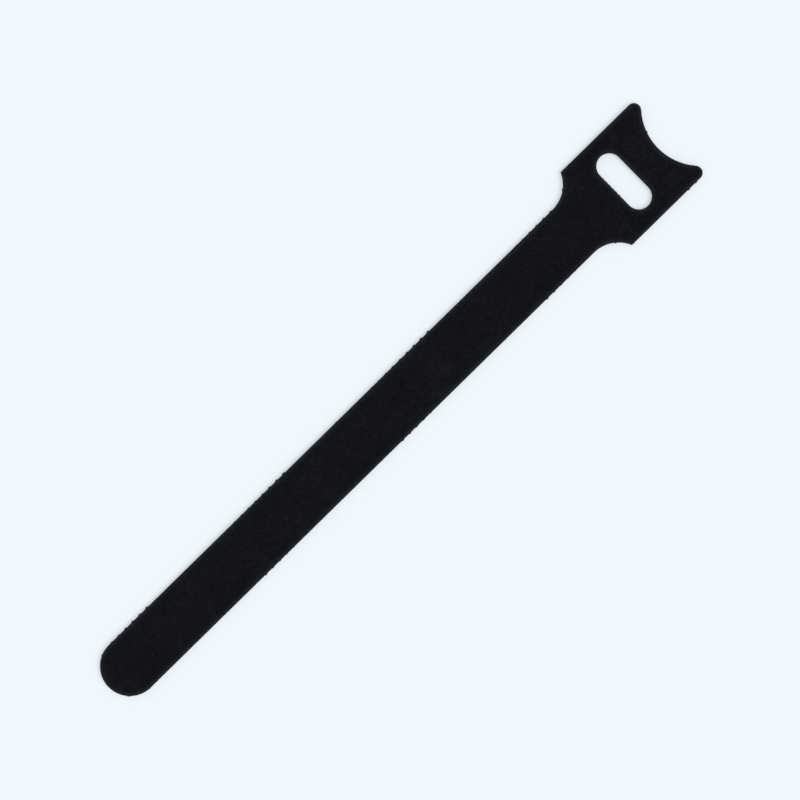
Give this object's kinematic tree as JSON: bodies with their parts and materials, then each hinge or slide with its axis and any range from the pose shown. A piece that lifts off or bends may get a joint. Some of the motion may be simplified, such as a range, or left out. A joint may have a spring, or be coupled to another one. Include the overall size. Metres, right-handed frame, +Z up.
{
  "type": "hook and loop cable tie",
  "caption": "Flat hook and loop cable tie: a narrow strap with a round tail and a wide slotted head, soft loops above and moulded hooks below.",
  "frame": {"origin": "middle of the strap's length and width, on its lower face, where the hooks end", "axes": "+X along the strap from the round tail to the slotted head, +Y across it, +Z up out of the loop face"},
  "size_m": [0.1524, 0.0198, 0.0016],
  "materials": {
    "hook_tape": "black moulded film with rows of small hooks, dull satin",
    "loop_fabric": "black brushed knit with a short fuzzy loop pile, matte"
  },
  "bodies": {
    "root": {"hook_tape": "hook_tape", "loop_fabric": "loop_fabric"}
  },
  "joints": []
}
